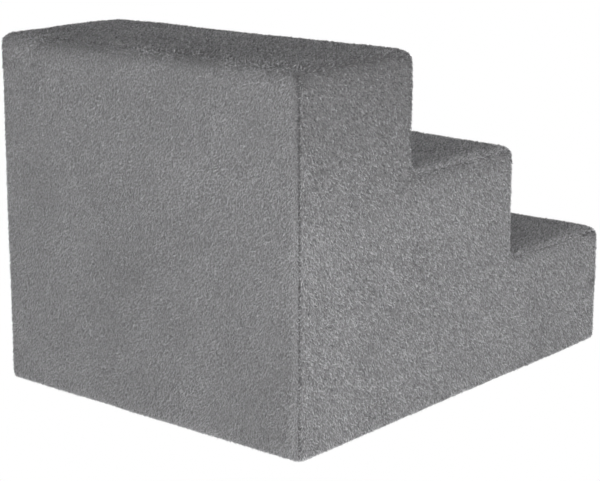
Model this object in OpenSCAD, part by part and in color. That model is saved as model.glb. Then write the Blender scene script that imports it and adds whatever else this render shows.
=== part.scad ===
// Three-step pet stairs: a glued foam core inside a zipped plush cover.
// The origin is at the centre of the footprint, on the floor. +Z is up and the
// steps climb towards +Y, so the lowest step faces -Y and the tall back faces +Y.

/* [Stairs] */
// Width across the steps
stair_w = 440; // [300:10:560]
// Depth of each of the three treads
tread_run = 190; // [140:5:260]
// Height from one tread to the next
step_rise = 127; // [90:5:180]
// How much taller the lowest step is than the others
first_rise_extra = 19; // [0:1:30]

/* [Plush cover] */
// Thickness of the plush, backing and pile together
plush_t = 6; // [4:0.5:10]
// Radius of the step noses and of the top back edge
nose_r = 14; // [10:1:26]
// Ease between the cover and the foam core, on the sides, front and back
cover_ease = 1.5; // [1:0.5:4]
// Width of the bias binding on the inside of each side seam
binding_w = 8; // [5:1:14]
// Side of the seam's sewing thread
thread_t = 0.8; // [0.5:0.1:1.2]

/* [Foam core] */
// Thickness of the softer foam pad on top of each step
pad_t = 20; // [10:1:40]
// Thickness of the liner over the foam
liner_t = 1; // [0.5:0.5:2]

/* [Base] */
// Height of the rubber grip discs under the base
grip_h = 2.5; // [2.5:0.5:6]
// Diameter of a grip disc
grip_d = 24; // [14:1:34]
// Grip discs across the width
grip_cols = 5; // [3:2:7]
// Grip discs from front to back
grip_rows = 7; // [3:2:9]
// Thickness of one layer of base fabric
base_t = 1; // [1:0.25:2]
// Width of the folded hem beside the zip
fold_w = 12; // [8:1:20]

/* [Zip] */
// Distance of the zip from the outside of the stairs
zip_inset = 32; // [30:1:60]
// Radius of the zip's two corners
zip_r = 30; // [25:1:60]
// Fabric left between the zip's ends and the front panel
zip_end_w = 24; // [18:1:60]
// Width of each zip tape
tape_w = 13; // [11:0.5:16]
// Thickness of the zip tapes
tape_t = 0.6; // [0.4:0.1:0.8]
// Width of one coil of teeth
coil_w = 2.7; // [2:0.1:3.2]
// Thickness of the coils
coil_t = 2.4; // [1.8:0.1:3]
// Gap between the two coils, where the slider's post runs
coil_gap = 1; // [0.9:0.1:1.4]
// Running clearance round the moving slider
run_gap = 0.3; // [0.2:0.05:0.4]
// Slider width
slider_w = 13; // [12:0.5:15]
// Slider length
slider_l = 16; // [14:0.5:22]
// Thickness of the slider's two plates and of its lugs
plate_t = 1.2; // [1:0.1:1.4]
// Length of the pull tab from its hinge pin
tab_l = 24; // [18:1:32]
// Width of the pull tab
tab_w = 8; // [6:0.5:10]
// Thickness of the pull tab
tab_t = 1.2; // [0.8:0.1:1.4]
// Radius of the hinge pin
pin_r = 0.6; // [0.5:0.05:0.7]
// Radial clearance of the pull tab on its pin
pin_gap = 0.05; // [0.03:0.01:0.08]

/* [Hidden] */
$fn = 48;
// Every cutter runs this far past the faces it opens
past = 1;
steps = [0, 1, 2];
last = 2;
stair_d = 3 * tread_run;

// Heights, from the floor up
cover_z = grip_h;
hem_z = cover_z + 2 * base_t;
core_z = hem_z + tape_t;
tape_mid_z = hem_z + tape_t / 2;
coil_z = tape_mid_z - coil_t / 2;
coil_top_z = tape_mid_z + coil_t / 2;
slider_z = coil_z - run_gap - plate_t;
slider_top_z = coil_top_z + run_gap + plate_t;

// The cover's inside, the liner and the foam, as insets from the outside
cover_in = [plush_t, plush_t];
liner_in = [plush_t + cover_ease, plush_t];
foam_in = [liner_in[0] + liner_t, liner_in[1] + liner_t];
inner_w = stair_w - 2 * plush_t;
liner_w = inner_w - 2 * cover_ease;
foam_w = liner_w - 2 * liner_t;
inner_front = -stair_d / 2 + plush_t;
inner_back = stair_d / 2 - plush_t;

// The zip's centre line is a U open to the front
zip_x = stair_w / 2 - zip_inset;
zip_back = stair_d / 2 - zip_inset;
zip_front = inner_front + zip_end_w;
coil_in = coil_gap / 2;
coil_out = coil_in + coil_w;
window_gap = 2;
window = slider_w / 2 + window_gap;
stop_l = 3;
coil_front = zip_front + stop_l;
stop_gap = 2;
slider_front = coil_front + stop_gap;
slider_back = slider_front + slider_l;

// The slider's inside
flange_x = coil_out + 2 * run_gap;
close_gap = 0.2;
post_t = coil_gap - 2 * close_gap;
post_l = 5;
slider_corner_r = 3;
flange_inset = 3;
// The pull tab's hinge
lug_gap = 4.4;
lug_r = 1.1;
lug_root = 2;
pin_y = slider_back + lug_r + close_gap / 2;
pin_z = slider_z - tab_t / 2 - close_gap;
eye_wall = 0.3;
eye_r = tab_t / 2 + eye_wall;
neck_w = lug_gap - 2 * close_gap;
neck_l = 2 * lug_r + 1;
neck_lap = 2;
tab_z = pin_z - tab_t / 2;
tab_slot_d = 4;
tab_corner_r = 2;

function step_front(i) = i * tread_run - stair_d / 2;
function step_top(i) = (i + 1) * step_rise + first_rise_extra;
function block_top(i) = step_top(i) - foam_in[1] - pad_t;
function foam_front(i) = step_front(i) + foam_in[0];
foam_back = stair_d / 2 - foam_in[0];

// ---- Outlines ----

// A slab seen from the side: z0 to z1, its top corners rounded by r_front and r_back
module slab_2d(y0, y1, z0, z1, r_front, r_back) {
    translate([y0, z0]) square([y1 - y0, z1 - z0 - max(r_front, r_back)]);
    translate([y0 + r_front, z0]) square([y1 - y0 - r_front - r_back, z1 - z0]);
    if (r_front > 0) translate([y0 + r_front, z1 - r_front]) circle(r_front);
    if (r_back > 0) translate([y1 - r_back, z1 - r_back]) circle(r_back);
}

// The stairs seen from the side, inset by [along y, down from the top], from z0 up
module stair_profile(inset, r, z0) {
    for (i = steps)
        slab_2d(step_front(i) + inset[0], stair_d / 2 - inset[0],
                z0, step_top(i) - inset[1], r, i == last ? r : 0);
}

// Turns a side outline upright and extrudes it across the stairs, centred
module across(w) {
    rotate([90, 0, 90]) linear_extrude(w, center = true) children();
}

// The area inside the zip's centre line grown by d, from y = front to the back
module zip_outline(d, front) {
    half = zip_x + d;
    back = zip_back + d;
    r = zip_r + d;
    translate([-half, front]) square([2 * half, back - r - front]);
    translate([r - half, front]) square([2 * (half - r), back - front]);
    for (side = [-1, 1]) translate([side * (half - r), back - r]) circle(r);
}

// The U between two distances from the zip's centre line
module zip_band(from, to, front) {
    difference() {
        zip_outline(to, front);
        zip_outline(from, front - past);
    }
}

// The strip of base fabric that joins the zip's two ends to the front panel
module zip_end_2d() {
    translate([-zip_x - window, inner_front])
        square([2 * (zip_x + window), zip_end_w]);
}

module rounded_2d(w, l, r) {
    translate([-w / 2, r]) square([w, l - 2 * r]);
    translate([r - w / 2, 0]) square([w - 2 * r, l]);
    for (x = [r - w / 2, w / 2 - r], y = [r, l - r]) translate([x, y]) circle(r);
}

module raised(z0, z1) {
    translate([0, 0, z0]) linear_extrude(z1 - z0) children();
}

// ---- Foam core ----

// The zip's slider needs a channel in the underside of the foam
module slider_channel() {
    raised(-past, slider_top_z + 2 * run_gap) zip_band(-window, window, inner_front - past);
}

module foam_block(i) {
    color("gainsboro")
        across(foam_w)
            translate([foam_front(i), block_top(i - 1)])
                square([foam_back - foam_front(i), block_top(i) - block_top(i - 1)]);
}

module lower_foam_block() {
    color("gainsboro") {
        difference() {
            across(foam_w)
                translate([foam_front(0), core_z])
                    square([foam_back - foam_front(0), block_top(0) - core_z]);
            slider_channel();
        }
        // The foam fills the base down to the single layer of fabric
        raised(cover_z + base_t, core_z)
            zip_outline(-window - fold_w - run_gap, foam_front(0) + zip_end_w);
    }
}

// The pad fills the tread back to the foam of the next step
module tread_pad(i) {
    back = i == last ? foam_back : foam_front(i + 1);
    nose = nose_r - foam_in[1];
    color("whitesmoke")
        across(foam_w)
            slab_2d(foam_front(i), back, block_top(i), block_top(i) + pad_t,
                    nose, i == last ? nose : 0);
}

module foam_liner() {
    color("white")
        difference() {
            across(liner_w) stair_profile(liner_in, nose_r - liner_in[1], core_z);
            across(foam_w) stair_profile(foam_in, nose_r - foam_in[1], core_z - past);
        }
}

// ---- Plush cover ----

// One length of plush: up the back, over the top, down the risers and treads
module cover_strip() {
    color("dimgray")
        across(inner_w)
            difference() {
                stair_profile([0, 0], nose_r, cover_z);
                stair_profile(cover_in, nose_r - plush_t, cover_z - past);
            }
}

module side_panel(side) {
    color("gray")
        translate([side * (stair_w - plush_t) / 2, 0, 0])
            across(plush_t) stair_profile([0, 0], nose_r, cover_z);
}

// A band that follows the side seam on the inside of the cover
module seam_band(side, depth_0, depth_1, thick) {
    translate([side * (inner_w - thick) / 2, 0, 0])
        across(thick)
            difference() {
                stair_profile(cover_in + [depth_0, depth_0],
                              nose_r - plush_t - depth_0, core_z);
                stair_profile(cover_in + [depth_1, depth_1],
                              max(nose_r - plush_t - depth_1, 0), core_z - past);
            }
}

module seam_thread(side) {
    color("dimgray") seam_band(side, 0, thread_t, thread_t);
}

module seam_binding(side) {
    color("slategray") seam_band(side, thread_t, binding_w, cover_ease);
}

// ---- Base ----

module base_panel() {
    color("#2b2b2d") {
        raised(cover_z, cover_z + base_t) {
            zip_outline(-window, inner_front);
            zip_end_2d();
        }
        // The edge beside the zip is folded double
        raised(cover_z + base_t, hem_z) {
            zip_band(-window - fold_w, -window, inner_front);
            zip_end_2d();
        }
    }
}

// A doubled strip that joins the zip to the side and back panels
module base_border() {
    color("#2b2b2d")
        raised(cover_z, hem_z)
            difference() {
                translate([-inner_w / 2, inner_front])
                    square([inner_w, inner_back - inner_front]);
                zip_outline(window, inner_front - past);
            }
}

// A grid of rubber discs, one of them at the origin
module grip_discs() {
    half_x = zip_x - window - fold_w - grip_d;
    half_y = min(-zip_front, zip_back - window - fold_w) - grip_d;
    color("#1c1c1e")
        for (ix = [0 : grip_cols - 1], iy = [0 : grip_rows - 1])
            translate([half_x * (2 * ix / (grip_cols - 1) - 1),
                       half_y * (2 * iy / (grip_rows - 1) - 1), 0])
                cylinder(h = grip_h, d = grip_d);
}

// ---- Zip ----

module zip_tape(from, to) {
    color("#3a3a3c") raised(hem_z, core_z) zip_band(from, to, zip_front - 2 * stop_l);
}

module zip_coil(from, to) {
    color("#55555a") raised(coil_z, coil_top_z) zip_band(from, to, coil_front);
}

// A metal stop clamped on the teeth, where y0 is its front
module zip_stop(x0, x1) {
    translate([x0, zip_front, coil_z]) cube([x1 - x0, stop_l, coil_t]);
}

// One stop on each tape at the closed end, in front of the parked slider
module zip_top_stops() {
    color("silver") {
        zip_stop(-zip_x - coil_out, -zip_x - coil_in);
        zip_stop(-zip_x + coil_in, -zip_x + coil_out);
    }
}

// The other end has one stop across both tapes
module zip_bottom_stop() {
    color("silver") zip_stop(zip_x - coil_out, zip_x + coil_out);
}

module slider_plate() {
    translate([0, slider_front, 0]) rounded_2d(slider_w, slider_l, slider_corner_r);
}

// One ear of the slider, bored for the hinge pin
module slider_lug(side) {
    x = side * (lug_gap + plate_t) / 2;
    difference() {
        union() {
            translate([x, pin_y, pin_z]) rotate([0, 90, 0])
                cylinder(h = plate_t, r = lug_r, center = true);
            translate([x - plate_t / 2, slider_back - lug_root, pin_z])
                cube([plate_t, lug_root + lug_r, slider_z + plate_t - pin_z]);
        }
        translate([x, pin_y, pin_z]) rotate([0, 90, 0])
            cylinder(h = plate_t + 2 * past, r = pin_r, center = true);
    }
}

module zip_slider() {
    lower_top = slider_z + plate_t;
    upper_z = slider_top_z - plate_t;
    flange_w = slider_w / 2 - flange_x;
    flange_l = slider_l - 2 * flange_inset;
    color("silver")
        translate([-zip_x, 0, 0]) {
            raised(slider_z, lower_top) slider_plate();
            raised(upper_z, slider_top_z) slider_plate();
            // The flanges leave a slot for the tape on each side
            for (x = [-slider_w / 2, flange_x]) {
                translate([x, slider_front + flange_inset, slider_z])
                    cube([flange_w, flange_l, hem_z - run_gap - slider_z]);
                translate([x, slider_front + flange_inset, core_z + run_gap])
                    cube([flange_w, flange_l, slider_top_z - core_z - run_gap]);
            }
            // The post between the coils holds the two plates together
            translate([-post_t / 2, slider_front, slider_z])
                cube([post_t, post_l, slider_top_z - slider_z]);
            for (side = [-1, 1]) slider_lug(side);
        }
}

module pull_pin() {
    color("silver")
        translate([-zip_x, pin_y, pin_z]) rotate([0, 90, 0])
            cylinder(h = lug_gap + 2 * plate_t, r = pin_r, center = true);
}

module pull_tab() {
    color("darkgray")
        translate([-zip_x, pin_y, 0])
            difference() {
                union() {
                    translate([0, 0, pin_z]) rotate([0, 90, 0])
                        cylinder(h = neck_w, r = eye_r, center = true);
                    raised(tab_z, tab_z + tab_t) {
                        translate([-neck_w / 2, 0]) square([neck_w, neck_l + neck_lap]);
                        translate([0, neck_l])
                            rounded_2d(tab_w, tab_l - neck_l, tab_corner_r);
                    }
                }
                translate([0, 0, pin_z]) rotate([0, 90, 0])
                    cylinder(h = neck_w + 2 * past, r = pin_r + pin_gap, center = true);
                translate([0, tab_l - tab_slot_d, tab_z - past])
                    cylinder(h = tab_t + 2 * past, d = tab_slot_d);
            }
}

lower_foam_block();
foam_block(1);  // middle_foam_block
foam_block(2);  // upper_foam_block
tread_pad(0);  // lower_tread_pad
tread_pad(1);  // middle_tread_pad
tread_pad(2);  // upper_tread_pad
foam_liner();
cover_strip();
side_panel(-1);  // left_side_panel
side_panel(1);  // right_side_panel
seam_binding(-1);  // left_seam_binding
seam_binding(1);  // right_seam_binding
seam_thread(-1);  // left_seam_thread
seam_thread(1);  // right_seam_thread
base_panel();
base_border();
grip_discs();
zip_tape(coil_out, coil_out + tape_w);  // zip_tape_outer
zip_tape(-coil_out - tape_w, -coil_out);  // zip_tape_inner
zip_coil(coil_in, coil_out);  // zip_coil_outer
zip_coil(-coil_out, -coil_in);  // zip_coil_inner
zip_top_stops();
zip_bottom_stop();
zip_slider();
pull_pin();
pull_tab();
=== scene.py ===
"""Three-step pet stairs in short grey plush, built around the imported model."""
import math

import bpy
import numpy as np
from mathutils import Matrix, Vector


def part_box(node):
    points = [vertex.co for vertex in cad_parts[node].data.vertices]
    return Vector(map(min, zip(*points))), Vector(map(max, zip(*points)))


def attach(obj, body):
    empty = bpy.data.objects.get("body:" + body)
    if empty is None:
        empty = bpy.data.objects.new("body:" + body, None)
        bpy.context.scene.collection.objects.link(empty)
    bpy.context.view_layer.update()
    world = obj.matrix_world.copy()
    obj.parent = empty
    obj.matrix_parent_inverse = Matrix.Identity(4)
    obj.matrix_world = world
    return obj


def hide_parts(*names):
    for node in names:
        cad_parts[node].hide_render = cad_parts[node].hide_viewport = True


MM = 0.001
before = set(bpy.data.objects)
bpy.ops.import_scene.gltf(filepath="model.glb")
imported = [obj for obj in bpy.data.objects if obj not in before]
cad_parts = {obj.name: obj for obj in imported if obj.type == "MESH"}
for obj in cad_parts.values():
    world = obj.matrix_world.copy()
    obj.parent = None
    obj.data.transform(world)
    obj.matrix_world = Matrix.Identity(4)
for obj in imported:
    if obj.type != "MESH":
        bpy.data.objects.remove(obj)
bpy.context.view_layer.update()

# ---------------------------------------------------------------- measures

STRIP_LOW, STRIP_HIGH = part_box("cover_strip")
HALF_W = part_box("right_side_panel")[1].x
FRONT, BACK = STRIP_LOW.y, STRIP_HIGH.y
COVER_Z, TOP_Z = STRIP_LOW.z, STRIP_HIGH.z

PADS = ("lower_tread_pad", "middle_tread_pad", "upper_tread_pad")
OVER_PAD = TOP_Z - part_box(PADS[2])[1].z      # cover and liner above the pads
BESIDE_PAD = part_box(PADS[0])[0].y - FRONT    # and in front of them
STEPS = [(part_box(p)[0].y - BESIDE_PAD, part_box(p)[1].z + OVER_PAD) for p in PADS]

HEM_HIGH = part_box("base_border")[1].z
BORDER_X, BORDER_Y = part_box("base_border")[1].x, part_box("base_border")[1].y
COIL_LOW, COIL_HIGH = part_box("zip_coil_outer")
ZIP_X = (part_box("zip_bottom_stop")[0].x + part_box("zip_bottom_stop")[1].x) / 2
ZIP_BACK = COIL_HIGH.y - (COIL_HIGH.x - ZIP_X)
ZIP_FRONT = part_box("zip_bottom_stop")[0].y
ZIP_R = 30 * MM          # the zip's rounded rear corners
WINDOW = ZIP_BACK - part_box("base_panel")[1].y   # from the zip's line to the base cloth
FOLD_W = 12 * MM         # the doubled edges beside the zip

CELL = 5 * MM            # spacing of the cover's points
PILE_STAND = 3.5 * MM    # how far the pile stands off its backing cloth
EDGE_R = np.array([11, 11, 15]) * MM   # rounding of the backing: aside, along and down
HEM_R = 4 * MM           # and along the lower edge
GROOVE = 2.4 * MM        # how far the two upright seams at the back pull the backing in
GROOVE_W = 4 * MM        # and how far from them that reaches
SWELL = 0.64 * MM        # how far the walls bulge in their middle
DROOP = 1.6 * MM         # how far the soft treads sink beside the seams
DROOP_W = 16 * MM        # and how far from them that reaches


# ---------------------------------------------------------------- noise

def hashed(ix, iy, iz, seed):
    """A number from 0 to 1 for each lattice point, the same on every run."""
    n = ix * 374761393 + iy * 668265263 + iz * 2147483647 + seed * 1274126177
    n = n & 0xFFFFFFFF
    n = ((n ^ (n >> 13)) * 1274126177) & 0xFFFFFFFF
    n = ((n ^ (n >> 16)) * 2246822519) & 0xFFFFFFFF
    return (n ^ (n >> 15)) / 0xFFFFFFFF


def soft_noise(points, size, seed):
    """Smooth noise from -1 to 1 whose lumps are about size across."""
    p = np.asarray(points) / size + 100.0
    cell = np.floor(p).astype(np.int64)
    t = p - cell
    t = t * t * (3 - 2 * t)
    total = np.zeros(len(p))
    for dx in (0, 1):
        for dy in (0, 1):
            for dz in (0, 1):
                weight = (
                    (t[:, 0] if dx else 1 - t[:, 0])
                    * (t[:, 1] if dy else 1 - t[:, 1])
                    * (t[:, 2] if dz else 1 - t[:, 2])
                )
                corner = hashed(cell[:, 0] + dx, cell[:, 1] + dy, cell[:, 2] + dz, seed)
                total += weight * corner
    return 2 * total - 1


def noise_vectors(points, size, seed):
    return np.stack([soft_noise(points, size, seed + k) for k in range(3)], 1)


def unit(vectors):
    return vectors / np.maximum(np.linalg.norm(vectors, axis=-1, keepdims=True), 1e-12)


# ---------------------------------------------------------------- materials

def linear(hex_colour):
    """An sRGB hex colour as linear RGBA."""
    out = []
    for i in (1, 3, 5):
        c = int(hex_colour[i : i + 2], 16) / 255
        out.append(c / 12.92 if c <= 0.04045 else ((c + 0.055) / 1.055) ** 2.4)
    return (*out, 1.0)


def add(tree, kind, inputs=None, stops=(), **settings):
    """Adds a node with its settings, and sets or links each of its inputs. A node given as
    an input stands for its first output. A ramp has (position, hex colour) stops."""
    node = tree.nodes.new(kind)
    for key, value in settings.items():
        setattr(node, key, value)
    for key, value in (inputs or {}).items():
        if isinstance(value, bpy.types.Node):
            value = value.outputs[0]
        if isinstance(value, bpy.types.NodeSocket):
            tree.links.new(value, node.inputs[key])
        else:
            node.inputs[key].default_value = value
    for i, (position, colour) in enumerate(stops):
        elements = node.color_ramp.elements
        if i == len(elements):
            elements.new(position)
        elements[i].position = position
        elements[i].color = linear(colour)
    return node


def new_finish(name, **fixed):
    """A material, its tree and its shader, with the shader's fixed values set."""
    mat = bpy.data.materials.new(name)
    mat.use_nodes = True
    shader = mat.node_tree.nodes["Principled BSDF"]
    for key, value in fixed.items():
        shader.inputs[key.replace("_", " ")].default_value = value
    return mat, mat.node_tree, shader


def dress(tree, shader, colour, height, relief):
    """Gives the shader its base colour and a relief of that depth in metres."""
    bump = add(tree, "ShaderNodeBump", {"Height": height, "Distance": relief})
    tree.links.new(colour.outputs["Color"], shader.inputs["Base Color"])
    tree.links.new(bump.outputs["Normal"], shader.inputs["Normal"])


PILE_ROWS = 24   # rows of the pile's own map, each running from root to tip
WAVE_RUN = math.pi / 10   # a wave texture of scale 1 repeats after this many metres


def plush_pile_finish():
    """Polyester pile, sheared short. Pale at the tips, with painted shade darkening it between
    the roots, it gives the grain of the cover, and the sheen lifts the fibres that are seen
    edge on."""
    mat, tree, shader = new_finish(
        "plush_polyester_pile",
        Roughness=0.75,
        Specular_IOR_Level=0.25,
        Sheen_Weight=0.15,
        Sheen_Roughness=0.5,
    )
    uv = add(tree, "ShaderNodeUVMap", uv_map="OFBake")
    split = add(tree, "ShaderNodeSeparateXYZ", {0: uv})
    rows = add(
        tree, "ShaderNodeMath", {0: split.outputs["Y"], 1: PILE_ROWS}, operation="MULTIPLY"
    )
    root_to_tip = add(tree, "ShaderNodeMath", {0: rows}, operation="FRACT")
    # Root to tip: painted shade at the roots, the fibres' own pale grey at the tips
    fibre_and_root_shade = add(
        tree,
        "ShaderNodeValToRGB",
        {"Fac": root_to_tip},
        [(0.05, "#737374"), (0.45, "#acacad"), (0.8, "#d7d7d8"), (1.0, "#e2e2e3")],
    )
    shade = add(
        tree,
        "ShaderNodeValToRGB",
        {"Fac": split.outputs["X"]},
        [(0.0, "#8a898a"), (0.5, "#d6d6d7"), (1.0, "#fafafb")],
    )
    tinted = add(
        tree,
        "ShaderNodeMix",
        {"Factor": 1.0, "A": fibre_and_root_shade, "B": shade},
        data_type="RGBA",
        blend_type="MULTIPLY",
    )
    tree.links.new(tinted.outputs["Result"], shader.inputs["Base Color"])
    return mat


def plush_backing_finish():
    """Knitted backing of the pile. It closes the gaps between the tufts with a dark felt of
    roots,
    so the pile looks deep: the knit's own grey, darkened as painted shade deep in the pile."""
    mat, tree, shader = new_finish(
        "plush_knit_backing", Roughness=0.95, Specular_IOR_Level=0.1
    )
    root_clump = 2.5 * MM
    place = add(tree, "ShaderNodeTexCoord").outputs["Object"]
    felt = add(
        tree, "ShaderNodeTexNoise", {"Vector": place, "Scale": 1 / root_clump, "Detail": 3.0}
    )
    # Dark grey: partly the knit's own colour, partly painted shade among the roots
    colour = add(
        tree, "ShaderNodeValToRGB", {"Fac": felt}, [(0.3, "#6e6e6f"), (0.7, "#909091")]
    )
    dress(tree, shader, colour, felt, 0.8 * MM)
    return mat


def woven_finish(name, dark, light, pitch, relief):
    """Plain-weave polyester. Crossing threads, pitch apart, give a fine, even tooth and
    kill the gloss, and thicker yarns cloud it. The pitch is about twice a real one, so
    that the weave shows. The bonded dots of the spunbond liner repeat in the same way."""
    mat, tree, shader = new_finish(name, Roughness=0.85, Specular_IOR_Level=0.25)
    thick_yarn = 9 * MM
    place = add(tree, "ShaderNodeTexCoord").outputs["Object"]
    warp, weft = (
        add(
            tree,
            "ShaderNodeTexWave",
            {"Vector": place, "Scale": WAVE_RUN / pitch},
            wave_type="BANDS",
            bands_direction=direction,
        ).outputs["Fac"]
        for direction in ("X", "Y")
    )
    crossed = add(tree, "ShaderNodeMath", {0: warp, 1: weft}, operation="MULTIPLY")
    slub = add(
        tree, "ShaderNodeTexNoise", {"Vector": place, "Scale": 1 / thick_yarn, "Detail": 4.0}
    )
    both = add(tree, "ShaderNodeMath", {0: crossed, 1: slub}, operation="ADD")
    mixed = add(tree, "ShaderNodeMath", {0: both, 1: 0.6}, operation="MULTIPLY")
    colour = add(tree, "ShaderNodeValToRGB", {"Fac": mixed}, [(0.1, dark), (0.9, light)])
    dress(tree, shader, colour, crossed, relief)
    return mat


def foam_finish(name, dark, light, pore):
    """Open-cell polyurethane foam, cut with a blade. Small round pores give a matt,
    slightly sugary face. They are drawn about twice as wide as real ones, to show."""
    mat, tree, shader = new_finish(name, Roughness=0.95, Specular_IOR_Level=0.2)
    cloud = 60 * MM
    place = add(tree, "ShaderNodeTexCoord").outputs["Object"]
    pores = add(tree, "ShaderNodeTexVoronoi", {"Vector": place, "Scale": 1 / pore})
    cloudy = add(
        tree, "ShaderNodeTexNoise", {"Vector": place, "Scale": 1 / cloud, "Detail": 3.0}
    )
    both = add(tree, "ShaderNodeMath", {0: pores, 1: cloudy}, operation="ADD")
    mixed = add(tree, "ShaderNodeMath", {0: both, 1: 0.7}, operation="MULTIPLY")
    colour = add(tree, "ShaderNodeValToRGB", {"Fac": mixed}, [(0.2, dark), (0.8, light)])
    dress(tree, shader, colour, pores, 0.5 * MM)
    return mat


def rubber_finish():
    """Black thermoplastic rubber of the grip discs, moulded: satin, with a dusty bloom."""
    mat, tree, shader = new_finish("grip_rubber_tpr", Specular_IOR_Level=0.4)
    patch, mould_grain = 7 * MM, 0.6 * MM
    place = add(tree, "ShaderNodeTexCoord").outputs["Object"]
    bloom = add(
        tree, "ShaderNodeTexNoise", {"Vector": place, "Scale": 1 / patch, "Detail": 5.0}
    )
    colour = add(
        tree, "ShaderNodeValToRGB", {"Fac": bloom}, [(0.3, "#0e0e0f"), (0.8, "#1e1e20")]
    )
    rough = add(tree, "ShaderNodeMapRange", {"Value": bloom, "To Min": 0.45, "To Max": 0.75})
    tree.links.new(rough.outputs["Result"], shader.inputs["Roughness"])
    grain = add(tree, "ShaderNodeTexNoise", {"Vector": place, "Scale": 1 / mould_grain})
    dress(tree, shader, colour, grain, 0.05 * MM)
    return mat


def nylon_finish(name, dark, light, roughness):
    """Drawn nylon, as monofilament or thread: a waxy half-gloss that catches a line of
    light."""
    mat, tree, shader = new_finish(name, Roughness=roughness, Specular_IOR_Level=0.35)
    patch, draw_mark = 3 * MM, 0.4 * MM
    place = add(tree, "ShaderNodeTexCoord").outputs["Object"]
    drawn = add(
        tree, "ShaderNodeTexNoise", {"Vector": place, "Scale": 1 / patch, "Detail": 4.0}
    )
    colour = add(tree, "ShaderNodeValToRGB", {"Fac": drawn}, [(0.3, dark), (0.7, light)])
    marks = add(tree, "ShaderNodeTexNoise", {"Vector": place, "Scale": 1 / draw_mark})
    dress(tree, shader, colour, marks, 0.03 * MM)
    return mat


def gunmetal_finish():
    """Gunmetal-plated zinc of the slider and tab: dark grey, with fine handling marks."""
    mat, tree, shader = new_finish("zip_gunmetal_plate", Metallic=1.0)
    mark = 1.5 * MM
    place = add(tree, "ShaderNodeTexCoord").outputs["Object"]
    marks = add(
        tree, "ShaderNodeTexNoise", {"Vector": place, "Scale": 1 / mark, "Detail": 6.0}
    )
    colour = add(
        tree, "ShaderNodeValToRGB", {"Fac": marks}, [(0.3, "#4c4c50"), (0.7, "#6a6a6e")]
    )
    rough = add(tree, "ShaderNodeMapRange", {"Value": marks, "To Min": 0.22, "To Max": 0.42})
    tree.links.new(rough.outputs["Result"], shader.inputs["Roughness"])
    dress(tree, shader, colour, marks, 0.02 * MM)
    return mat


pile_finish = plush_pile_finish()
backing_finish = plush_backing_finish()
base_finish = woven_finish("base_oxford_cloth", "#202023", "#434347", 1.2 * MM, 0.25 * MM)
binding_finish = woven_finish("binding_bias_tape", "#3f4347", "#62676c", 0.7 * MM, 0.12 * MM)
tape_finish = woven_finish("zip_woven_tape", "#1d1d1f", "#38383b", 0.8 * MM, 0.15 * MM)
liner_finish = woven_finish("liner_spunbond", "#cfd0d0", "#eeefef", 2.2 * MM, 0.15 * MM)
firm_finish = foam_finish("foam_firm_white", "#c9c7bf", "#e6e4dc", 1.4 * MM)
soft_finish = foam_finish("foam_soft_white", "#dcdad2", "#f3f2ec", 1.9 * MM)
thread_finish = nylon_finish("thread_bonded_nylon", "#2c2c2e", "#454547", 0.7)
coil_finish = nylon_finish("zip_coil_nylon", "#1c1c1e", "#303033", 0.5)
disc_finish = rubber_finish()
gunmetal = gunmetal_finish()


# ---------------------------------------------------------------- meshes

def build(name, points, quads, tris=None, uvs=None, material=None, slot=None, body="stairs"):
    """Makes a smooth piece from arrays. uvs, one for each point, become the map OFBake."""
    loops = [np.asarray(quads).reshape(-1)]
    counts = [np.full(len(quads), 4)]
    if tris is not None:
        loops.append(np.asarray(tris).reshape(-1))
        counts.append(np.full(len(tris), 3))
    loops, counts = np.concatenate(loops), np.concatenate(counts)
    mesh = bpy.data.meshes.new(name)
    mesh.vertices.add(len(points))
    mesh.vertices.foreach_set("co", np.asarray(points, np.float32).ravel())
    mesh.loops.add(len(loops))
    mesh.loops.foreach_set("vertex_index", loops.astype(np.int32))
    mesh.polygons.add(len(counts))
    starts = np.concatenate([[0], np.cumsum(counts)[:-1]])
    mesh.polygons.foreach_set("loop_start", starts.astype(np.int32))
    mesh.update(calc_edges=True)
    mesh.polygons.foreach_set("use_smooth", np.ones(len(counts), bool))
    if uvs is not None:
        layer = mesh.uv_layers.new(name="OFBake")
        layer.data.foreach_set("uv", np.asarray(uvs, np.float32)[loops].ravel())
    mesh.materials.append(material)
    obj = bpy.data.objects.new(name, mesh)
    bpy.context.scene.collection.objects.link(obj)
    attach(obj, body)
    return obj


def compact(points, *face_sets):
    """Drops the points that no face uses."""
    used = np.unique(np.concatenate([f.ravel() for f in face_sets]))
    new_index = np.full(len(points), -1)
    new_index[used] = np.arange(len(used))
    return (points[used], *(new_index[f] for f in face_sets))


def thicken(obj, thickness, offset=-1):
    solid = obj.modifiers.new("cloth_thickness", "SOLIDIFY")
    solid.thickness = thickness
    solid.offset = offset


def point_normals(points, quads):
    a, b, c, d = (points[quads[:, i]] for i in range(4))
    face = np.cross(c - a, d - b)
    total = np.zeros_like(points)
    for i in range(4):
        np.add.at(total, quads[:, i], face)
    return unit(total)


def relaxed(points, quads, rounds):
    """Evens the points out a little, which turns sharp inner corners into soft ones."""
    for _ in range(rounds):
        total = np.zeros_like(points)
        count = np.zeros(len(points))
        for i in range(4):
            for j in (i - 1, (i + 1) % 4):
                np.add.at(total, quads[:, i], points[quads[:, j]])
                np.add.at(count, quads[:, i], 1)
        points = 0.5 * points + 0.5 * total / count[:, None]
    return points


def ring_quads(rings, size, closed=False):
    """Quads between neighbouring rings of size points, each ring a closed loop."""
    i = np.arange(rings if closed else rings - 1)[:, None]
    j = np.arange(size)[None]
    a = i * size + j
    b = i * size + (j + 1) % size
    c = (i + 1) % rings * size + (j + 1) % size
    d = (i + 1) % rings * size + j
    return np.stack(np.broadcast_arrays(a, b, c, d), -1).reshape(-1, 4)


# ---------------------------------------------------------------- plush cover, backing

def stair_cells():
    """Which cells of a grid over the stairs are filled, as a [y, z] array."""
    ny = round((BACK - FRONT) / CELL)
    nz = round(TOP_Z / CELL)
    filled = np.zeros((ny, nz), bool)
    for front, top in STEPS:
        filled[round((front - FRONT) / CELL) :, : round(top / CELL)] = True
    return filled


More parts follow.
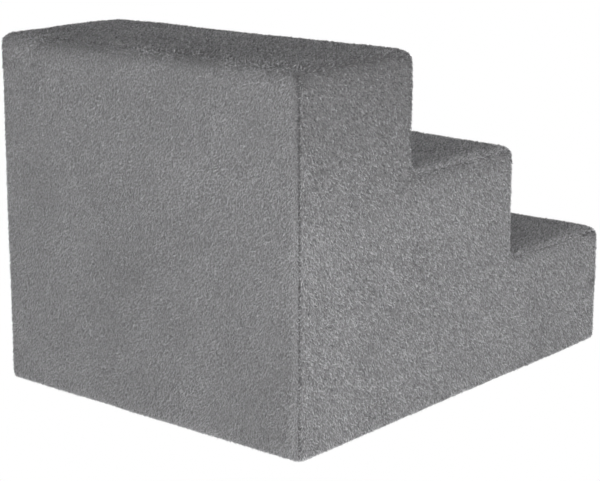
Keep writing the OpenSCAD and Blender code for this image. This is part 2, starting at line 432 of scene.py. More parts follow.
def cover_quads():
    """The quads of the block's skin by panel, each corner a grid point (x, y, z)."""
    filled = stair_cells()
    nx = round(2 * HALF_W / CELL)
    ny, nz = filled.shape
    quads = {"left": [], "right": [], "base": [], "strip": []}
    for y in range(ny):
        for z in range(nz):
            if not filled[y, z]:
                continue
            a, b, c, d = (y, z), (y + 1, z), (y + 1, z + 1), (y, z + 1)
            quads["left"].append([(0, *p) for p in (a, d, c, b)])
            quads["right"].append([(nx, *p) for p in (a, b, c, d)])
            for x in range(nx):
                if z == nz - 1 or not filled[y, z + 1]:
                    quads["strip"].append([(x, *d), (x + 1, *d), (x + 1, *c), (x, *c)])
                if y == 0 or not filled[y - 1, z]:
                    quads["strip"].append([(x, *a), (x + 1, *a), (x + 1, *d), (x, *d)])
                if y == ny - 1:
                    quads["strip"].append([(x, *b), (x, *c), (x + 1, *c), (x + 1, *b)])
                if z == 0:
                    at_side = "left" if x == 0 else "right" if x == nx - 1 else None
                    at_end = "strip" if y in (0, ny - 1) else "base"
                    quads[at_side or at_end].append(
                        [(x, *a), (x, *b), (x + 1, *b), (x + 1, *a)]
                    )
    return quads


def rounded_block(points):
    """Pulls points off the block's sharp edges on to rounded ones, PILE_STAND inside it."""
    side, low = EDGE_R + PILE_STAND, HEM_R
    best = np.full(len(points), np.inf)
    held = points.copy()
    for front, top in STEPS:
        lo = np.array([-HALF_W + side[0], front + side[1], COVER_Z + low])
        hi = np.array([HALF_W - side[0], BACK - side[1], top - side[2]])
        q = np.clip(points, lo, hi)
        away = np.linalg.norm(points - q, axis=1)
        closer = away < best
        best[closer] = away[closer]
        held[closer] = q[closer]
    out = points - held
    radius = np.tile(side, (len(points), 1))
    radius[out[:, 2] < 0, 2] = low + COVER_Z
    reach = np.linalg.norm(out / radius, axis=1, keepdims=True)
    shrink = np.tile(EDGE_R / side, (len(points), 1))
    shrink[out[:, 2] < 0, 2] = HEM_R / (HEM_R + COVER_Z)
    return held + out / np.maximum(reach, 1) * shrink


def seam_distance(points):
    """How far each point of the sharp block is from the nearer side seam."""
    to_side = HALF_W - np.abs(points[:, 0])
    outline = [(FRONT, 0.0)]
    for i, (front, top) in enumerate(STEPS):
        if i:
            outline.append((front, STEPS[i - 1][1]))
        outline.append((front, top))
    outline += [(BACK, TOP_Z), (BACK, 0.0)]
    yz = points[:, 1:]
    nearest = np.full(len(points), np.inf)
    for a, b in zip(outline, outline[1:]):
        a, b = np.array(a), np.array(b)
        t = np.clip((yz - a) @ (b - a) / ((b - a) @ (b - a)), 0, 1)
        nearest = np.minimum(nearest, np.linalg.norm(yz - a - t[:, None] * (b - a), axis=1))
    return np.where(to_side < 1e-6, nearest, to_side)


cover = cover_quads()
grid_index = {}
for faces in cover.values():
    for face in faces:
        for corner in face:
            grid_index.setdefault(corner, len(grid_index))
cover = {
    panel: np.array([[grid_index[c] for c in face] for face in faces])
    for panel, faces in cover.items()
}
skin = np.concatenate(list(cover.values()))
sharp = np.array(list(grid_index), float) * CELL + np.array([-HALF_W, FRONT, 0])
# The grid's steps are whole cells high, and this moves them to their real heights
treads = [top for _, top in STEPS]
sharp[:, 2] = np.interp(
    sharp[:, 2], [0] + [round(top / CELL) * CELL for top in treads], [0] + treads
)
shell = relaxed(rounded_block(sharp), skin, 3)
normals = point_normals(shell, skin)

# The soft pads sink beside the seams, the walls swell, and the seams at the back pull in
from_seam = seam_distance(sharp)
facing_up = np.clip(normals[:, 2], 0, 1) ** 2
shell[:, 2] -= DROOP * facing_up * np.exp(-from_seam / DROOP_W)
swell = SWELL * np.clip(from_seam / (90 * MM), 0, 1) * np.clip(1 - np.abs(normals[:, 2]), 0, 1)
lumps = 0.8 * MM * soft_noise(shell, 90 * MM, 3) + 0.4 * MM * soft_noise(shell, 28 * MM, 9)
from_corner = np.hypot(HALF_W - np.abs(sharp[:, 0]), BACK - sharp[:, 1])
groove = GROOVE * (1 - facing_up) * np.exp(-((from_corner / GROOVE_W) ** 2))
shell += normals * (swell + lumps - groove)[:, None]
normals = point_normals(shell, skin)

for panel, node, name in (
    ("strip", "cover_strip", "plush_strip_backing"),
    ("left", "left_side_panel", "plush_left_backing"),
    ("right", "right_side_panel", "plush_right_backing"),
):
    points, quads = compact(shell, cover[panel])
    piece = build(name, points, quads, material=backing_finish, slot="plush")
    thicken(piece, 1.5 * MM)
    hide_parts(node)


# ---------------------------------------------------------------- plush cover, pile

TUFT_L, TUFT_W = 4.0 * MM, 1.0 * MM  # a tuft stands for many fibres, too fine to show
TUFT_COLUMNS, TUFT_RANKS = 5, 2      # tufts in each cell, across and along
PATCH, SWIRL, CLUMP = 70 * MM, 40 * MM, 8 * MM    # sizes of the brushed areas of the nap
STRAY, ROLL = 0.7, 0.5               # how far single tufts stray from it, and roll over
SEWN_IN, PARTED = 2.6 * MM, 6 * MM   # how far the back seams catch tufts and part them, and so how far painted shade reaches in them
RISE = 0.5                           # how steeply the tufts stand, as a share of their length
HANG = 0.2, 2.4                      # lowest tips above the floor, in millimetres
MID_SHADE = 0.53
CLOUD, MOTTLE = 55 * MM, 11 * MM     # sizes of the paler and darker areas
PAINTED_SHADE_FROM = 0.55                  # share of the height where painted shade starts to darken the sides


def away_from_corner(root, up):
    """The way from the nearer upright corner at the back, along the cloth."""
    on_side = np.abs(up[:, 0]) > np.abs(up[:, 1])
    way = np.zeros_like(root)
    way[:, 0] = np.where(on_side, 0, -np.sign(root[:, 0]))
    way[:, 1] = np.where(on_side, -1, 0)
    return way


def pile(name, quads, seed, nap, speckle=0.3, painted_shading=0.0):
    """Tufts all over the quads: flat curved blades that lean with the nap, roll at random
    and thin out to a tip. Each has its shade and a root-to-tip run on the pile's own map.
    They part at the two seams at the back, with painted shade there, and painted shade darkens
    them high on the sides.
    The last argument adds painted light to the whole when above zero and painted shade when
    below, and speckle is how much the tufts differ."""
    rng = np.random.default_rng(seed)
    count = len(quads)
    across_at, along_at = np.meshgrid(range(TUFT_COLUMNS), range(TUFT_RANKS))
    u = (across_at.ravel()[:, None] + rng.random((across_at.size, count))) / TUFT_COLUMNS
    v = (along_at.ravel()[:, None] + rng.random((across_at.size, count))) / TUFT_RANKS
    share = np.stack([(1 - u) * (1 - v), u * (1 - v), u * v, (1 - u) * v], -1).reshape(-1, 4)
    faces = np.tile(quads, (across_at.size, 1))
    root = np.einsum("nk,nkc->nc", share, shell[faces])
    up = unit(np.einsum("nk,nkc->nc", share, normals[faces]))
    at_corner = np.einsum("nk,nk->n", share, from_corner[faces])
    n = len(root)

    # The nap runs one way, brushed aside in patches, and every tuft strays a little
    brushed = np.clip(2.2 * soft_noise(root, PATCH, 31) - 0.1, 0, 1)[:, None]
    lean = np.array(nap, float) + (0.2 + 0.3 * brushed) * noise_vectors(root, SWIRL, 11)
    lean = lean + 0.4 * noise_vectors(root, CLUMP, 21) + rng.normal(0, STRAY, (n, 3))
    upright = 1 - np.clip(up[:, 2], 0, 1)
    # Near the back seams these also darken the tufts, as painted shade of the seam groove
    sewn_in_and_shaded = np.exp(-((at_corner / SEWN_IN) ** 2)) * upright
    parted_and_shaded = np.exp(-((at_corner / PARTED) ** 2)) * upright
    way = away_from_corner(root, up)
    astray = np.clip(-np.sum(lean * way, 1), 0, None)
    lean = lean + (parted_and_shaded * (1.2 + astray))[:, None] * way
    lean = unit(lean - up * np.sum(lean * up, 1, keepdims=True))
    rise = RISE + 0.05 * soft_noise(root, CELL, 41) + rng.uniform(-0.16, 0.16, n)
    length = TUFT_L * (1 - 0.9 * sewn_in_and_shaded) * rng.uniform(0.7, 1.15, n)
    width = TUFT_W * rng.uniform(0.65, 1.2, n)
    side = np.cross(up, lean)
    roll = rng.normal(0, ROLL, n)
    edge = side * np.cos(roll)[:, None] + up * np.sin(roll)[:, None]

    def along_tuft(rising, lying):
        return length[:, None] * (rising * rise[:, None] * up + lying * lean)

    middle = root + along_tuft(0.66, 0.3)
    tip = root + along_tuft(1.0, 0.85)
    half = (width / 2)[:, None] * edge
    sunk = root - up * MM
    points = np.stack(
        [sunk - half, sunk + half, middle - 0.9 * half, middle + 0.9 * half, tip], 1
    )
    hang = rng.uniform(*HANG, n)[:, None] * MM
    points[:, :, 2] = np.maximum(points[:, :, 2], hang)

    clouds = 0.06 * soft_noise(root, CLOUD, 51)
    shade = MID_SHADE + clouds + 0.03 * soft_noise(root, MOTTLE, 52)
    # Painted shade: the sides' tufts darken towards the top
    high = np.clip((root[:, 2] / TOP_Z - PAINTED_SHADE_FROM) / (1 - PAINTED_SHADE_FROM), 0, 1)
    painted_shade_high = high * np.abs(up[:, 0])
    # This sum adds the treads' painted light and shade, and takes off painted shade in the back
    # seams and high on the sides
    shade = shade + painted_shading - 0.9 * sewn_in_and_shaded - 0.12 * parted_and_shaded - 0.7 * painted_shade_high
    shade = np.clip(shade + rng.normal(0, speckle, n), 0.02, 0.98)
    row = rng.integers(0, PILE_ROWS, n)
    uv = np.empty((n, 5, 2))
    uv[:, :, 0] = shade[:, None] + 0.006 * np.array([-1, 1, -1, 1, 0])
    uv[:, :, 1] = (row[:, None] + np.array([0.05, 0.05, 0.5, 0.5, 0.95])) / PILE_ROWS
    first = 5 * np.arange(n)[:, None]
    return build(
        name,
        points.reshape(-1, 3),
        first + np.array([0, 1, 3, 2]),
        first + np.array([2, 3, 4]),
        uv.reshape(-1, 2),
        pile_finish,
        "plush",
    )


middle_of = shell[cover["strip"]].mean(1)
faces_back = middle_of[:, 1] > BACK - EDGE_R[1]
faces_up = normals[cover["strip"]].mean(1)[:, 2] > 0.7
DOWN, FORWARD = (0, 0.05, -1.3), (0, -1, -0.1)    # ways that the nap runs
BACK_SPECKLE, SIDE_SPECKLE = 0.06, 0.36           # the sides' tufts differ more in shade
on_step = np.searchsorted([STEPS[1][0], STEPS[2][0]], middle_of[:, 1])
high_up = middle_of[:, 2] > TOP_Z / 2
strip_pile = [
    pile("plush_pile_back_low", cover["strip"][faces_back & ~high_up], 101, DOWN, BACK_SPECKLE),
    pile("plush_pile_back_high", cover["strip"][faces_back & high_up], 102, DOWN, BACK_SPECKLE),
]
# The middle tread's pile gets painted light and the upper tread's painted shade, added to its
# shade
TREAD_PAINTED_SHADING = (("lower", 0), ("middle", 0.09), ("upper", -0.14))
for i, (which, painted_shading) in enumerate(TREAD_PAINTED_SHADING):
    here = ~faces_back & (on_step == i)
    tread, riser = cover["strip"][here & faces_up], cover["strip"][here & ~faces_up]
    strip_pile.append(pile(f"plush_pile_{which}_tread", tread, 110 + i, FORWARD, painted_shading=painted_shading))
    strip_pile.append(pile(f"plush_pile_{which}_riser", riser, 120 + i, DOWN))
side_pile = {
    side: pile(f"plush_pile_{side}_side", cover[side], seed, DOWN, SIDE_SPECKLE)
    for side, seed in (("left", 104), ("right", 105))
}

# ---------------------------------------------------------------- foam and liner

def slab_skin(low, high, cell):
    """Points and quads of a box whose faces are grids, each point shared by its faces."""
    low, high = np.array(low), np.array(high)
    count = np.maximum(np.round((high - low) / cell).astype(int), 2)
    keys, quads = {}, []

    def point(i, j, k):
        return keys.setdefault((i, j, k), len(keys))

    for axis in range(3):
        u, v = (axis + 1) % 3, (axis + 2) % 3
        for end in (0, count[axis]):
            for a in range(count[u]):
                for b in range(count[v]):
                    corners = []
                    for da, db in ((0, 0), (1, 0), (1, 1), (0, 1)):
                        place = [0, 0, 0]
                        place[axis], place[u], place[v] = end, a + da, b + db
                        corners.append(point(*place))
                    quads.append(corners if end else corners[::-1])
    return low + np.array(list(keys)) * (high - low) / count, np.array(quads)


def round_off(points, low, high, radius, axes):
    """Rounds the box's edges that run square to the two axes."""
    low, high = np.array(low)[axes], np.array(high)[axes]
    held = np.clip(points[:, axes], low + radius, high - radius)
    out = points[:, axes] - held
    reach = np.linalg.norm(out, axis=1, keepdims=True)
    points = points.copy()
    points[:, axes] = held + out * np.minimum(1, radius / np.maximum(reach, 1e-9))
    return points


FAR = 1.0                # an edge is left square by moving one face this far off
FOAM_EASE = 1.5 * MM     # the foam is cut a little under size for its liner
FOAM_R = 11 * MM         # its rounded upright corners
PORE_LUMP = 7 * MM       # size of the small lumps that the blade leaves


def zip_distance(points):
    """How far outside (or, below zero, inside) the zip's line each point lies."""
    corner_y = ZIP_BACK - ZIP_R
    out_x = np.abs(points[:, 0]) - (ZIP_X - ZIP_R)
    out_y = points[:, 1] - corner_y
    in_corner = np.hypot(np.maximum(out_x, 0), np.maximum(out_y, 0))
    return np.minimum(np.maximum(out_x, out_y), 0) + in_corner - ZIP_R


def eased_box(node):
    """The node's box, its sides brought in by FOAM_EASE."""
    low, high = (np.array(c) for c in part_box(node))
    ease = np.array([FOAM_EASE, FOAM_EASE, 0])
    return low + ease, high - ease


def foam_piece(node, name, material, slot, nose=None):
    """One cut block or pad: square underneath, rounded up the corners, a nose on a pad."""
    low, high = eased_box(node)
    at_back = high[1] > BACK - 20 * MM
    if nose:
        high[2] -= FOAM_EASE
    points, quads = slab_skin(low, high, 6 * MM)
    if nose:
        open_low = low.copy()
        open_high = high.copy()
        open_low[2] = -FAR
        if not at_back:
            open_high[1] = FAR
        points = round_off(points, open_low, open_high, nose, [1, 2])
        points = round_off(points, open_low, open_high, 1.4 * nose, [0, 2])
    open_high = high.copy()
    if not at_back:
        open_high[1] = FAR
    points = round_off(points, low, open_high, FOAM_R, [0, 1])
    points += 0.25 * MM * noise_vectors(points, PORE_LUMP, 61)
    piece = build(name, points, quads, material=material, slot=slot)
    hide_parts(node)
    return piece


def lower_block():
    """The bottom block, with the channel that the zip's slider runs in."""
    node = "lower_foam_block"
    low, high = eased_box(node)
    core_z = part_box("foam_liner")[0].z
    points, quads = slab_skin(low, high, 5 * MM)
    off = zip_distance(points)
    bottom = np.full(len(points), core_z)
    bottom[off < -WINDOW - FOLD_W - MM] = low[2] + 0.3 * MM
    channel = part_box("zip_slider")[1].z + 0.8 * MM
    bottom[np.abs(off) < WINDOW] = channel
    floor_side = np.abs(points[:, 2] - low[2]) < 1e-6
    points[floor_side, 2] = bottom[floor_side]
    points = round_off(points, low, high, FOAM_R, [0, 1])
    jitter = 0.2 * MM * noise_vectors(points, PORE_LUMP, 62)
    jitter[floor_side, 2] = 0
    piece = build(
        "foam_lower_block", points + jitter, quads, material=firm_finish, slot="firm_foam"
    )
    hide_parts(node)
    return piece


foam_pieces = [
    lower_block(),
    foam_piece("middle_foam_block", "foam_middle_block", firm_finish, "firm_foam"),
    foam_piece("upper_foam_block", "foam_upper_block", firm_finish, "firm_foam"),
]
pad_pieces = [
    foam_piece(node, node.replace("_tread_pad", "_pad_foam"), soft_finish, "soft_foam", 9 * MM)
    for node in PADS
]

LINER_DEPTH = HALF_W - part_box("foam_liner")[1].x - PILE_STAND
liner_quads = np.concatenate([cover["strip"], cover["left"], cover["right"]])
above_base = (shell[liner_quads][:, :, 2] > COVER_Z + HEM_R).all(1)
liner_points, liner_quads = compact(shell - normals * LINER_DEPTH, liner_quads[above_base])
liner = build("liner_cloth_bag", liner_points, liner_quads, material=liner_finish)
thicken(liner, 0.5 * MM)
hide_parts("foam_liner")

# ---------------------------------------------------------------- seams inside the cover

def even_steps(line, step):
    """Points step apart along a line of points, and the way it runs at each of them."""
    lengths = np.linalg.norm(np.diff(line, axis=0), axis=1)
    run = np.concatenate([[0], np.cumsum(lengths)])
    at = np.linspace(0, run[-1], max(2, round(run[-1] / step)))
    spots = np.stack([np.interp(at, run, line[:, k]) for k in range(line.shape[1])], 1)
    return spots, unit(np.gradient(spots, axis=0))


def stair_line(inset, radius, low, step):
    """The stair outline, inset, as points (y, z) from front to back, with the way out."""
    corners = [(FRONT + inset, low, 0)]
    for i, (front, top) in enumerate(STEPS):
        if i:
            corners.append((front + inset, STEPS[i - 1][1] - inset, 0))
        corners.append((front + inset, top - inset, radius))
    corners += [(BACK - inset, TOP_Z - inset, radius), (BACK - inset, low, 0)]
    line = []
    for i, (y, z, r) in enumerate(corners):
        if not r:
            line.append((y, z))
            continue
        here = np.array([y, z])
        before = unit(np.array(corners[i - 1][:2]) - here)
        after = unit(np.array(corners[i + 1][:2]) - here)
        for t in np.linspace(0, math.pi / 2, 7):
            aside = (1 - math.sin(t)) * before + (1 - math.cos(t)) * after
            line.append(tuple(here + r * aside))
    spots, along = even_steps(np.array(line), step)
    return spots, np.stack([-along[:, 1], along[:, 0]], 1)


def sweep(name, profile, spots, outward, place, **about):
    """Carries a closed profile of (out, rise) points along a line and closes its ends.
    place turns the line's own (a, b) and the rise into a point of the stairs."""
    profile = np.array(profile)
    rings = spots[:, None] + outward[:, None] * profile[None, :, :1]
    rise = np.broadcast_to(profile[None, :, 1], rings.shape[:2])
    points = place(rings.reshape(-1, 2), rise.reshape(-1))
    size, count = len(profile), len(spots)
    quads = ring_quads(count, size)
    middles = np.array([points[:size].mean(0), points[-size:].mean(0)])
    first, last = len(points), len(points) + 1
    j = np.arange(size)
    start_fan = np.stack([np.full(size, first), (j + 1) % size, j], 1)
    end = (count - 1) * size
    end_fan = np.stack([np.full(size, last), end + j, end + (j + 1) % size], 1)
    fans = np.concatenate([start_fan, end_fan])
    return build(name, np.concatenate([points, middles]), quads, fans, **about)


def stitches(name, spots, along, away, length, radius, **about):
    """A row of stitches: a small sunk bead of thread at each spot."""
    turns = np.linspace(0, 2 * math.pi, 6, endpoint=False)
    side = np.cross(along, away)
    bead = []
    for t, width in ((-0.5, 0.25), (-0.3, 0.9), (0.0, 1.0), (0.3, 0.9), (0.5, 0.25)):
        centre = spots + along * length * t
        for turn in turns:
            bead.append(
                centre + radius * width * (math.cos(turn) * side + math.sin(turn) * away)
            )
    points = np.stack(bead, 1)
    one = ring_quads(5, len(turns))
    first = np.arange(len(spots))[:, None, None] * len(bead)
    quads = (one[None] + first).reshape(-1, 4)
    caps = np.array([[0, 5, 4, 1], [1, 4, 3, 2], [24, 25, 28, 29], [25, 26, 27, 28]])
    quads = np.concatenate([quads, (caps[None] + first).reshape(-1, 4)])
    return build(name, points.reshape(-1, 3), quads, **about)


BINDING_IN, BINDING_W = 11 * MM, 8 * MM
BINDING_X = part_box("right_seam_binding")[1].x - 0.1 * MM
BINDING_T, TAPE_T = 1.1 * MM, 0.3 * MM
low_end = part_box("right_seam_binding")[0].z
for side, sign in (("left", -1), ("right", 1)):
    spots, out = stair_line(BINDING_IN, 6 * MM, low_end + 3 * MM, 4 * MM)

    def at_side(yz, depth, sign=sign):
        return np.column_stack([sign * (BINDING_X - depth) * np.ones(len(yz)), yz])

    # One tape folded over the raw edges of the seam: two layers and the fold
    binding = sweep(
        f"{side}_bias_binding",
        [
            (0, 0),
            (-BINDING_W + TAPE_T, 0),
            (-BINDING_W, TAPE_T),
            (-BINDING_W, BINDING_T - TAPE_T),
            (-BINDING_W + TAPE_T, BINDING_T),
            (0, BINDING_T),
            (0, BINDING_T - TAPE_T),
            (-BINDING_W + 1.5 * TAPE_T, BINDING_T - TAPE_T),
            (-BINDING_W + 1.5 * TAPE_T, TAPE_T),
            (0, TAPE_T),
        ],
        spots,
        out,
        at_side,
        material=binding_finish,
        slot="binding_tape",
    )
    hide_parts(f"{side}_seam_binding")
    sewn, _ = stair_line(BINDING_IN + 3 * MM, 4 * MM, low_end + 4 * MM, 4.2 * MM)
    along = unit(np.gradient(sewn, axis=0))
    thread = stitches(
        f"{side}_seam_stitches",
        at_side(sewn, BINDING_T),
        np.stack([np.zeros(len(along)), along[:, 0], along[:, 1]], 1),
        np.tile([-sign, 0.0, 0.0], (len(sewn), 1)),
        3.2 * MM,
        0.4 * MM,
        material=thread_finish,
        slot="sewing_thread",
    )
    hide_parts(f"{side}_seam_thread")

# ---------------------------------------------------------------- base and zip

def zip_line(start, step, offset=0.0):
    """Points (x, y) along the zip's U from the left leg's front to the right's, with the
    way out of the U."""
    corner = np.array([ZIP_X - ZIP_R, ZIP_BACK - ZIP_R])
    r = ZIP_R + offset
    line = [(-ZIP_X - offset, start)]
    for sign, a, b in ((-1, math.pi, math.pi / 2), (1, math.pi / 2, 0)):
        for t in np.linspace(a, b, 13):
            line.append((sign * corner[0] + r * math.cos(t), corner[1] + r * math.sin(t)))
    line.append((ZIP_X + offset, start))
    spots, along = even_steps(np.array(line), step)
    return spots, np.stack([-along[:, 1], along[:, 0]], 1)


def flat_place(xy, z):
    return np.column_stack([xy, z])


def cloth_band(inner, outer, low, high):
    """A flat cloth's profile between two distances from the zip's line, edges eased."""
    ease = 0.35 * (high - low)
    return [
        (inner, low + ease),
        (inner + ease, low),
        (outer - ease, low),
        (outer, low + ease),
        (outer, high - ease),
        (outer - ease, high),
        (inner + ease, high),
        (inner, high - ease),
    ][::-1]


TAPE_LOW, TAPE_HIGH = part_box("zip_tape_outer")
COIL_OUT = COIL_HIGH.x - ZIP_X
CORD_IN = 1.1 * MM       # the tape's corded edge runs inside the coil
TAPE_OUT = TAPE_HIGH.x - ZIP_X
tape_line = zip_line(TAPE_LOW.y, 5 * MM)
zip_tapes = {}
for name, node, inner, outer in (
    ("zip_tape_woven_outer", "zip_tape_outer", CORD_IN, TAPE_OUT),
    ("zip_tape_woven_inner", "zip_tape_inner", -TAPE_OUT, -CORD_IN),
):
    tape = sweep(
        name,
        cloth_band(inner, outer, TAPE_LOW.z, TAPE_HIGH.z),
        *tape_line,
        flat_place,
        material=tape_finish,
        slot="zip_tape",
    )
    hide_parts(node)
    zip_tapes[node] = tape


def wire(name, path, inward, radius, **about):
    """A round wire along a path, its rings turned by the way in at each point."""
    along = unit(np.gradient(path, axis=0))
    side = unit(np.cross(along, inward))
    inward = np.cross(side, along)
    rings = [
        path + radius * (math.cos(t) * side + math.sin(t) * inward)
        for t in np.linspace(0, 2 * math.pi, 5, endpoint=False)
    ]
    points = np.stack(rings, 1).reshape(-1, 3)
    return build(name, points, ring_quads(len(path), 5)[:, ::-1], **about)


COIL_PITCH = 1.5 * MM    # from one turn of the wire to the next
COIL_TURN = 12           # points in each turn
WIRE_R = 0.32 * MM
COIL_GAP = 0.35 * MM     # from the zip's line to each coil
coil_mid_z = (COIL_LOW.z + COIL_HIGH.z) / 2
coil_half_z = (COIL_HIGH.z - COIL_LOW.z) / 2 - WIRE_R
for name, node, sign in (
    ("zip_coil_wire_outer", "zip_coil_outer", 1),
    ("zip_coil_wire_inner", "zip_coil_inner", -1),
):
    centre = sign * (COIL_OUT + COIL_GAP) / 2
    half = (COIL_OUT - COIL_GAP) / 2 - WIRE_R
    spots, out = zip_line(COIL_LOW.y + 0.5 * MM, COIL_PITCH / COIL_TURN)
    turn = np.arange(len(spots)) * 2 * math.pi / COIL_TURN + (0 if sign > 0 else math.pi)
    swing = centre + half * np.cos(turn)
    path = flat_place(
        spots + out * swing[:, None], coil_mid_z + coil_half_z * np.sin(turn)
    )
    axis = flat_place(spots + out * centre, np.full(len(spots), coil_mid_z))
    coil = wire(
        name, path, unit(axis - path), WIRE_R, material=coil_finish, slot="zip_coil"
    )
    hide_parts(node)

BORDER_TUCK = 1.5 * MM   # the cover's hem turns under by this much more
BORDER_R = 13 * MM       # its outer corners, inside the cover's

# The border: one strip folded double, from the zip's window out to the cover's inside
spots, out = zip_line(-BORDER_Y, 6 * MM, WINDOW)
room_x = (BORDER_X - BORDER_TUCK - np.abs(spots[:, 0])) / np.maximum(np.abs(out[:, 0]), 1e-6)
room_y = (BORDER_Y - BORDER_TUCK - spots[:, 1]) / np.maximum(out[:, 1], 1e-6)
round_at = np.array([BORDER_X, BORDER_Y]) - BORDER_TUCK - BORDER_R
to_round = round_at - np.abs(spots)
along_ray = np.sum(to_round * np.abs(out), 1)
miss = np.sum(to_round**2, 1) - along_ray**2
round_reach = along_ray + np.sqrt(np.maximum(BORDER_R**2 - miss, 0))
hit = np.abs(spots) + np.abs(out) * np.minimum(room_x, room_y)[:, None]
in_corner = (hit > round_at).all(1) & (spots[:, 1] > 0)
reach = np.where(in_corner, round_reach, np.minimum(room_x, room_y))
# The folded strip in section: shares of the way out, and of the height
share = np.array([1, 0.5, 0.03, 0, 0, 0.03, 0.5, 1, 1, 0.06, 0.06, 1])
level = np.array([0, 0, 0, 0.2, 0.8, 1, 1, 1, 0.6, 0.6, 0.4, 0.4])
rings = spots[:, None] + out[:, None] * (reach[:, None] * share)[..., None]
rise = COVER_Z + (HEM_HIGH - COVER_Z) * np.tile(level, (len(spots), 1))
border = build(
    "base_border_cloth",
    flat_place(rings.reshape(-1, 2), rise.reshape(-1)),
    ring_quads(len(spots), len(share)),
    material=base_finish,
    slot="base_cloth",
)
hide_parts("base_border")


def base_sheet():
    """The base cloth inside the zip, a grid that follows its rounded rear corners."""
    back = ZIP_BACK - WINDOW
    rows = np.linspace(-BORDER_Y, back, 110)
    into_corner = np.clip((rows - (ZIP_BACK - ZIP_R)) / (ZIP_R - WINDOW), 0, 1)
    half = ZIP_X - ZIP_R + (ZIP_R - WINDOW) * np.sqrt(1 - into_corner**2)
    half = np.where(rows < ZIP_FRONT, ZIP_X + WINDOW, half)
    columns = np.linspace(-1, 1, 81)
    points = np.stack(
        np.broadcast_arrays(half[:, None] * columns, rows[:, None], COVER_Z + 1 * MM), -1
    ).reshape(-1, 3)
    points[:, 2] += 0.12 * MM * soft_noise(points, 40 * MM, 71)
    n = len(columns)
    i = np.arange(len(rows) - 1)[:, None] * n
    j = np.arange(n - 1)[None]
    quads = np.stack([i + j, i + n + j, i + n + j + 1, i + j + 1], -1).reshape(-1, 4)
    sheet = build("base_panel_cloth", points, quads, material=base_finish, slot="base_cloth")
    thicken(sheet, 0.9 * MM, 1)
    return sheet


base = base_sheet()
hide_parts("base_panel")
fold = sweep(
    "base_panel_fold",
    cloth_band(-WINDOW - FOLD_W, -WINDOW, COVER_Z + 1.1 * MM, HEM_HIGH),
    *zip_line(-BORDER_Y, 6 * MM),
    flat_place,
    material=base_finish,
    slot="base_cloth",
)


def hem_row(name, offset, start):
    """Lockstitches seen from below, along the zip at one distance from its line."""
    spots, out = zip_line(start, 3.6 * MM, offset)
    along = np.stack([out[:, 1], -out[:, 0]], 1)
    flat = np.zeros(len(spots))
    return stitches(
        name,
        flat_place(spots, np.full(len(spots), COVER_Z + 0.05 * MM)),
        flat_place(along, flat),
        np.tile([0.0, 0.0, -1.0], (len(spots), 1)),
        2.8 * MM,
        0.32 * MM,
        material=thread_finish,
        slot="sewing_thread",
    )


border_hems = [hem_row("border_stitches_near", WINDOW + 2 * MM, ZIP_FRONT)]
border_hems.append(hem_row("border_stitches_far", WINDOW + 7 * MM, ZIP_FRONT))
base_hems = [hem_row("base_stitches_near", -WINDOW - 2 * MM, ZIP_FRONT)]
base_hems.append(hem_row("base_stitches_far", -WINDOW - 10 * MM, ZIP_FRONT))

DISC_R = 12 * MM
DISC_COLUMNS, DISC_ROWS = 5, 7


def grip_disc_points():
    """One moulded disc in section, (radius, height): a lip, two rings and a sunk middle."""
    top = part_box("grip_discs")[1].z
    return [
        (0.05 * MM, 0.9 * MM),
        (2.0 * MM, 0.9 * MM),
        (2.6 * MM, 0.1 * MM),
        (3.8 * MM, 0.1 * MM),
        (4.4 * MM, 0.9 * MM),
        (6.2 * MM, 0.9 * MM),
        (6.8 * MM, 0.1 * MM),
        (8.0 * MM, 0.1 * MM),
        (8.6 * MM, 0.9 * MM),
        (9.8 * MM, 0.9 * MM),
        (10.4 * MM, 0.0),
        (DISC_R - 0.5 * MM, 0.0),
        (DISC_R, 0.5 * MM),
        (DISC_R, top - 0.3 * MM),
        (DISC_R - 0.3 * MM, top + 0.2 * MM),
        (0.05 * MM, top + 0.2 * MM),
    ]


section = np.array(grip_disc_points())
turns = np.linspace(0, 2 * math.pi, 40, endpoint=False)
disc_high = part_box("grip_discs")[1]
xs = np.linspace(-1, 1, DISC_COLUMNS) * (disc_high.x - DISC_R)
ys = np.linspace(-1, 1, DISC_ROWS) * (disc_high.y - DISC_R)
discs, disc_quads = [], []
for x in xs:
    for y in ys:
        ring = section[None, :, :1] * np.stack([np.cos(turns), np.sin(turns)], -1)[:, None]
        disc = np.concatenate(
            [ring + [x, y], np.broadcast_to(section[None, :, 1:], (*ring.shape[:2], 1))], -1
        )
        one = ring_quads(len(turns), len(section), True)
        disc_quads.append(one + len(discs) * disc.size // 3)
        discs.append(disc.reshape(-1, 3))
grips = build(
    "grip_discs_moulded",
    np.concatenate(discs),
    np.concatenate(disc_quads),
    material=disc_finish,
    slot="grip_rubber",
)
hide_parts("grip_discs")

# The hard zip parts keep their exact shape; a fine bevel catches the light on each edge
for node in ("zip_slider", "pull_pin", "pull_tab", "zip_top_stops", "zip_bottom_stop"):
    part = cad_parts[node]
    part.data.materials.clear()
    part.data.materials.append(gunmetal)
    bevel = part.modifiers.new("edge_break", "BEVEL")
    bevel.width = 0.12 * MM
    bevel.segments = 2
    bevel.limit_method = "ANGLE"
    bevel.angle_limit = math.radians(40)

# ---------------------------------------------------------------- camera, light, floor

CAM_AZ, CAM_EL = math.radians(220.1), math.radians(12.92)
CAM_DISTANCE = 2.058
CAM_LENS, CAM_SENSOR = 106.1, 36
CAM_ASIDE, CAM_ABOVE = -15.4 * MM, -10.6 * MM
CAM_DROP = -0.05         # a little lens shift, so that the uprights lean in less
LOOK_AT = Vector((0, 0, 0.19))
FLOOR_HALF = 20
ROOM_LIGHT = 4.4
BOX_DISTANCE, BOX_SIZE, BOX_POWER = 2.6, 1.2, 30    # the two soft boxes, metres and watts


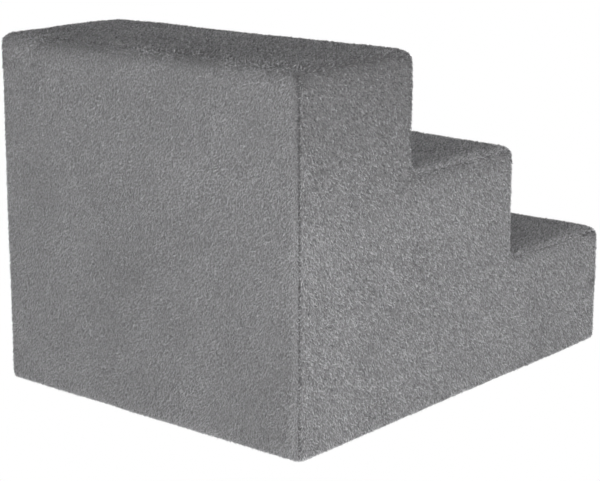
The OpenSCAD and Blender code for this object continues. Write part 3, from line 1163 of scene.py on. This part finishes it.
def add_camera():
    """A long lens from behind, so the back and the left side show at once."""
    data = bpy.data.cameras.new("camera")
    cam = bpy.data.objects.new("camera", data)
    bpy.context.scene.collection.objects.link(cam)
    data.sensor_width = CAM_SENSOR
    data.lens = CAM_LENS
    data.shift_y = CAM_DROP
    back = Vector(
        (
            math.sin(CAM_AZ) * math.cos(CAM_EL),
            -math.cos(CAM_AZ) * math.cos(CAM_EL),
            math.sin(CAM_EL),
        )
    )
    right = Vector((0, 0, 1)).cross(back).normalized()
    up = back.cross(right)
    cam.location = LOOK_AT + right * CAM_ASIDE + up * CAM_ABOVE + back * CAM_DISTANCE
    cam.rotation_mode = "QUATERNION"
    cam.rotation_quaternion = (-back).to_track_quat("-Z", "Y")
    bpy.context.scene.camera = cam


def add_light(name, azimuth, elevation, distance, size, power):
    """A square soft box that faces the stairs."""
    data = bpy.data.lights.new(name, "AREA")
    data.size = size
    data.energy = power
    lamp = bpy.data.objects.new(name, data)
    bpy.context.scene.collection.objects.link(lamp)
    a, e = math.radians(azimuth), math.radians(elevation)
    way = Vector((math.sin(a) * math.cos(e), -math.cos(a) * math.cos(e), math.sin(e)))
    lamp.location = way * distance + Vector((0, 0, 0.2))
    lamp.rotation_mode = "QUATERNION"
    lamp.rotation_quaternion = (-way).to_track_quat("-Z", "Y")


def only_seen_white(tree, lit, kind):
    """Mixes the light-giving shader with plain white for what the camera sees directly."""
    ray = add(tree, "ShaderNodeLightPath").outputs["Is Camera Ray"]
    white = add(tree, kind, {"Color": (1, 1, 1, 1), "Strength": 1.0})
    return add(tree, "ShaderNodeMixShader", {0: ray, 1: lit, 2: white}).outputs[0]


def add_floor():
    """A softly lit white table: it shades the lower hem a little and is seen as pure white."""
    mesh = bpy.data.meshes.new("floor")
    f = FLOOR_HALF
    mesh.from_pydata([(-f, -f, 0), (f, -f, 0), (f, f, 0), (-f, f, 0)], [], [(0, 1, 2, 3)])
    floor = bpy.data.objects.new("floor", mesh)
    bpy.context.scene.collection.objects.link(floor)
    mat = bpy.data.materials.new("floor_white")
    mat.use_nodes = True
    tree = mat.node_tree
    tree.nodes.clear()
    paint = add(tree, "ShaderNodeBsdfDiffuse", {"Color": (0.8, 0.8, 0.8, 1)})
    glow = add(tree, "ShaderNodeEmission", {"Color": (1, 1, 1, 1), "Strength": 0.55})
    table = add(tree, "ShaderNodeAddShader", {0: paint, 1: glow})
    seen = only_seen_white(tree, table, "ShaderNodeEmission")
    add(tree, "ShaderNodeOutputMaterial", {"Surface": seen})
    mesh.materials.append(mat)


def add_world():
    """A white room, bright at eye level and dimmer overhead, so the treads read darker."""
    world = bpy.data.worlds.new("studio")
    bpy.context.scene.world = world
    world.use_nodes = True
    tree = world.node_tree
    tree.nodes.clear()
    way = add(tree, "ShaderNodeTexCoord").outputs["Generated"]
    height = add(tree, "ShaderNodeSeparateXYZ", {0: way}).outputs["Z"]
    fade = add(
        tree,
        "ShaderNodeValToRGB",
        {"Fac": height},
        [(0.05, "#ffffff"), (0.2, "#707070"), (0.6, "#202020")],
    )
    lit = add(tree, "ShaderNodeBackground", {"Color": fade, "Strength": ROOM_LIGHT})
    seen = only_seen_white(tree, lit, "ShaderNodeBackground")
    add(tree, "ShaderNodeOutputWorld", {"Surface": seen})


add_camera()
add_world()
add_floor()
for name, azimuth, elevation in (("side_box", 236, 5), ("front_box", 10, 50)):
    add_light(name, azimuth, elevation, BOX_DISTANCE, BOX_SIZE, BOX_POWER)
bpy.context.scene.view_settings.view_transform = "Standard"
